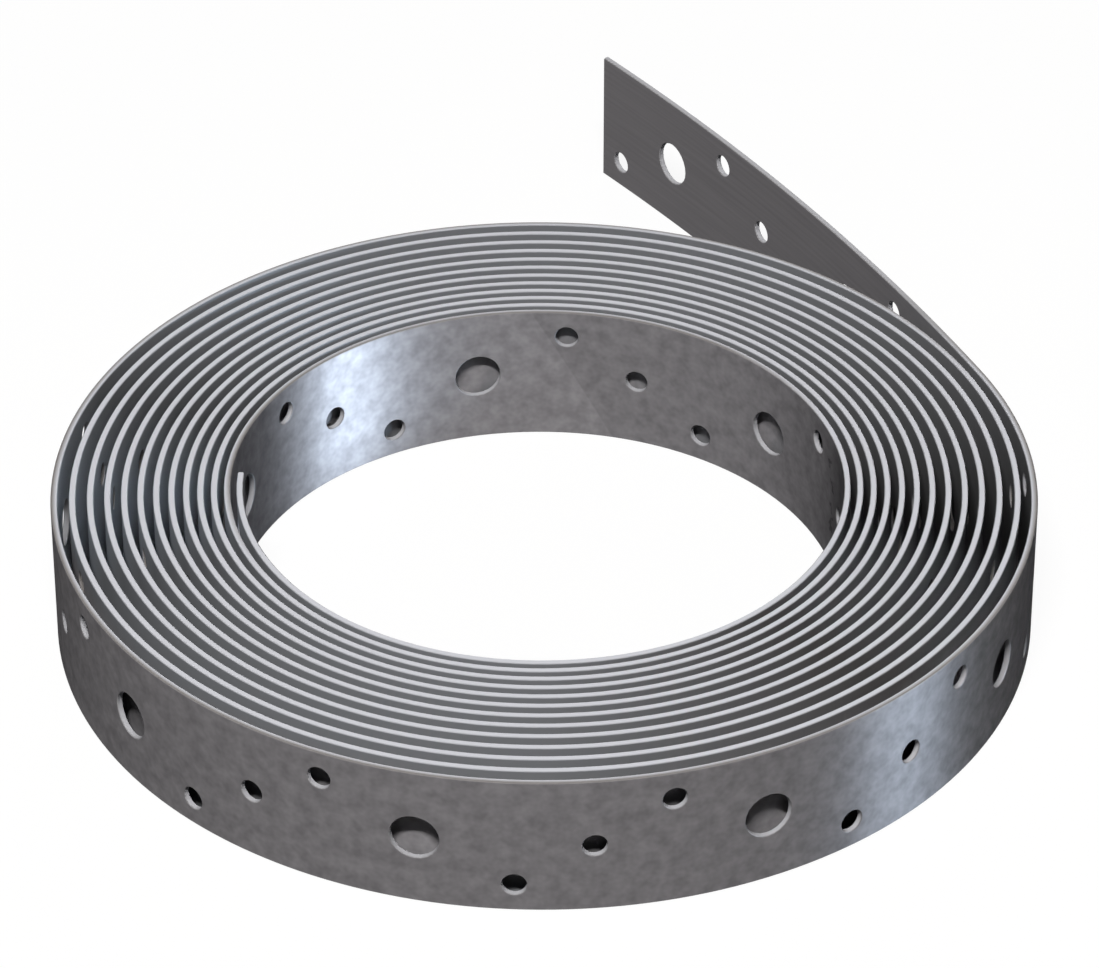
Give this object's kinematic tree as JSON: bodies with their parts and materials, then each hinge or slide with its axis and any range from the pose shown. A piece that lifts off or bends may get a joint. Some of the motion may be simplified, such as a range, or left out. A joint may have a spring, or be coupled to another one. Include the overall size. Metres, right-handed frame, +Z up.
{
  "type": "perforated steel strap",
  "caption": "Galvanised perforated steel strap standing on edge in an open spiral coil with a free tail, with a repeating row of large and small fixing holes.",
  "frame": {"origin": "on the axis of the coil's innermost quarter turn, in the plane of the slit edges that the coil rests on", "axes": "+Z up along the axis of the coil; +X to the right and +Y away from the viewer of the picture, so that the tail runs back and to the left from the coil's right side"},
  "size_m": [0.13, 0.1746, 0.02],
  "materials": {
    "galvanised_steel": "satin galvanised zinc"
  },
  "bodies": {
    "root": {"strap": "galvanised_steel"}
  },
  "joints": []
}
